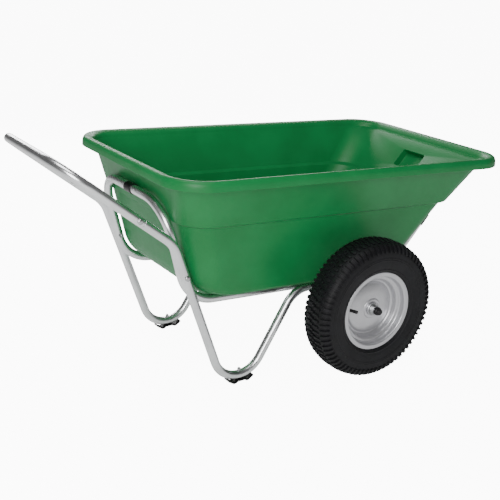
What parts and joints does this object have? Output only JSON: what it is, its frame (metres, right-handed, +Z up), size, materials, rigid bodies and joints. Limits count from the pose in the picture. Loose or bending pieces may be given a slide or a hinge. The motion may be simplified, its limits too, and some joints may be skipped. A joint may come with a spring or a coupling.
{
  "type": "garden cart",
  "caption": "Two-wheeled garden cart: a flared moulded tub in a bent tube frame with bent legs, a handle loop and pneumatic wheels.",
  "frame": {"origin": "on the ground under the centre of the cart's overall box", "axes": "+X towards the nose of the cart, +Y to its left side, +Z up"},
  "size_m": [1.3878, 0.8216, 0.7064],
  "materials": {
    "tub_plastic": "satin moulded polyethylene with a fine grain",
    "tube_aluminium": "satin drawn tube",
    "bracket_aluminium": "cast, matte",
    "fastener_steel": "bright zinc plate",
    "axle_steel": "bright drawn bar",
    "rim_paint": "silver powder coat, satin",
    "tyre_rubber": "matte moulded tread",
    "black_rubber": "matte",
    "pad_steel": "black coat, satin"
  },
  "bodies": {
    "frame": {"handle_loop": "tube_aluminium", "bed_tube_handle_end": "tube_aluminium", "bed_tube_nose_end": "tube_aluminium", "handle_hoop_sleeve": "black_rubber", "axle": "axle_steel", "left_leg_tube": "tube_aluminium", "left_runner_plug": "tube_aluminium", "left_nose_hoop_sleeve": "black_rubber", "left_foot_pad": "pad_steel", "left_axle_bracket": "bracket_aluminium", "left_axle_spacer": "fastener_steel", "left_handle_bolt": "fastener_steel", "left_handle_nut": "fastener_steel", "left_hoop_bolt": "fastener_steel", "left_hoop_nut": "fastener_steel", "left_foot_bolt": "fastener_steel", "left_foot_nut": "fastener_steel", "left_bracket_runner_bolt": "fastener_steel", "left_bracket_runner_nut": "fastener_steel", "left_bracket_strut_bolt": "fastener_steel", "left_bracket_strut_nut": "fastener_steel", "left_axle_washer": "fastener_steel", "left_axle_nut": "fastener_steel", "left_nut_cap": "black_rubber", "right_leg_tube": "tube_aluminium", "right_runner_plug": "tube_aluminium", "right_nose_hoop_sleeve": "black_rubber", "right_foot_pad": "pad_steel", "right_axle_bracket": "bracket_aluminium", "right_axle_spacer": "fastener_steel", "right_handle_bolt": "fastener_steel", "right_handle_nut": "fastener_steel", "right_hoop_bolt": "fastener_steel", "right_hoop_nut": "fastener_steel", "right_foot_bolt": "fastener_steel", "right_foot_nut": "fastener_steel", "right_bracket_runner_bolt": "fastener_steel", "right_bracket_runner_nut": "fastener_steel", "right_bracket_strut_bolt": "fastener_steel", "right_bracket_strut_nut": "fastener_steel", "right_axle_washer": "fastener_steel", "right_axle_nut": "fastener_steel", "right_nut_cap": "black_rubber"},
    "tub": {"tub": "tub_plastic"},
    "left_wheel": {"left_tyre": "tyre_rubber", "left_inner_tube": "black_rubber", "left_rim_outer_half": "rim_paint", "left_rim_inner_half": "rim_paint", "left_hub": "rim_paint", "left_outer_bearing": "fastener_steel", "left_inner_bearing": "fastener_steel", "left_valve_stem": "black_rubber"},
    "right_wheel": {"right_tyre": "tyre_rubber", "right_inner_tube": "black_rubber", "right_rim_outer_half": "rim_paint", "right_rim_inner_half": "rim_paint", "right_hub": "rim_paint", "right_outer_bearing": "fastener_steel", "right_inner_bearing": "fastener_steel", "right_valve_stem": "black_rubber"}
  },
  "joints": [
    {"name": "left_wheel_spin", "type": "hinge", "parent": "frame", "child": "left_wheel", "pos_m": [0.14558, 0.357, 0.2], "axis": [0, 1, 0], "continuous": true},
    {"name": "right_wheel_spin", "type": "hinge", "parent": "frame", "child": "right_wheel", "pos_m": [0.14558, -0.357, 0.2], "axis": [0, 1, 0], "continuous": true},
    {"name": "tub_lift", "type": "slide", "parent": "frame", "child": "tub", "axis": [0, 0, 1], "range_m": [0, 0.35]}
  ]
}
